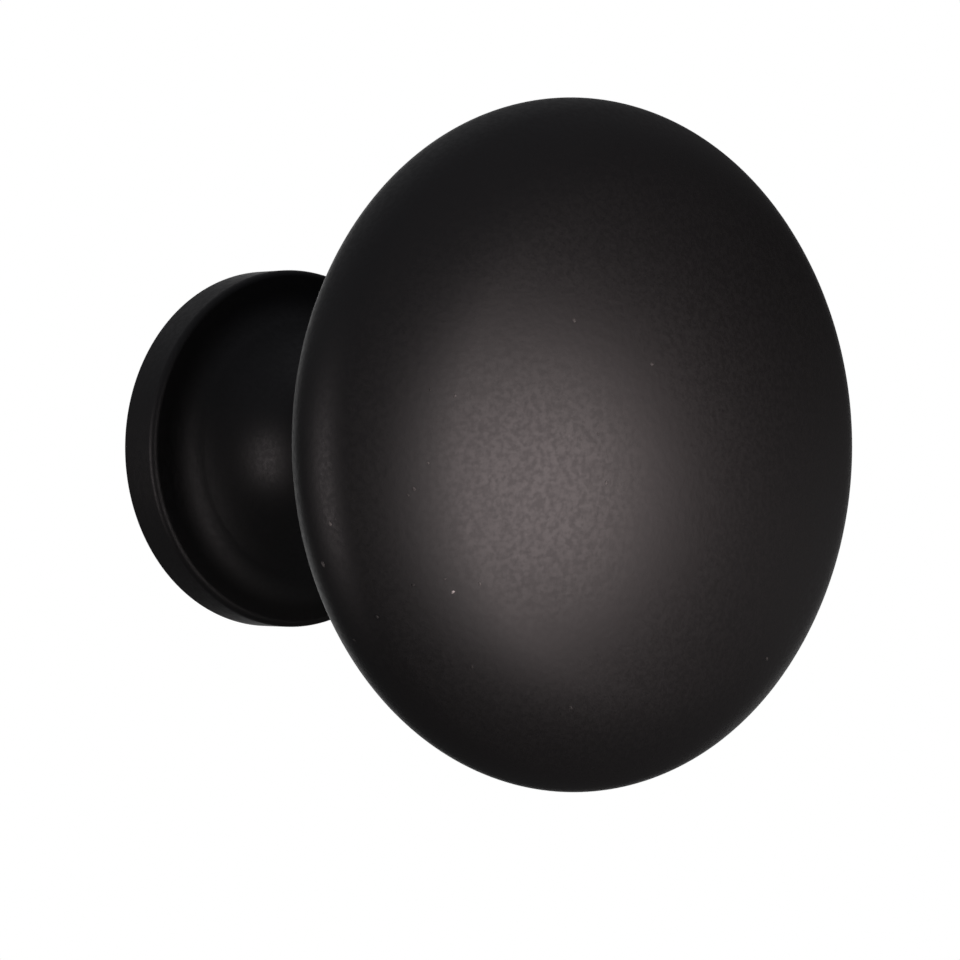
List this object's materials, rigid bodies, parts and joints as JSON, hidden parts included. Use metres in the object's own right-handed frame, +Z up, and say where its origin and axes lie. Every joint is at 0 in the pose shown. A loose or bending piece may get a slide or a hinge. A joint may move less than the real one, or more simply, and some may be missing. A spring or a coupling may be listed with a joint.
{
  "type": "cabinet knob",
  "caption": "Round cabinet knob with a low domed head, flared neck and disc base, coated matte black, with a blind threaded screw hole in its back.",
  "frame": {"origin": "centre of the mounting face, at the mouth of the screw hole", "axes": "+Y out of the mounting face, into the door or drawer front that it is screwed to; the dome faces -Y; +Z up"},
  "size_m": [0.0318, 0.0313, 0.0318],
  "materials": {
    "black_coat": "matte black coat, fine grain"
  },
  "bodies": {
    "root": {"knob_body": "black_coat"}
  },
  "joints": []
}
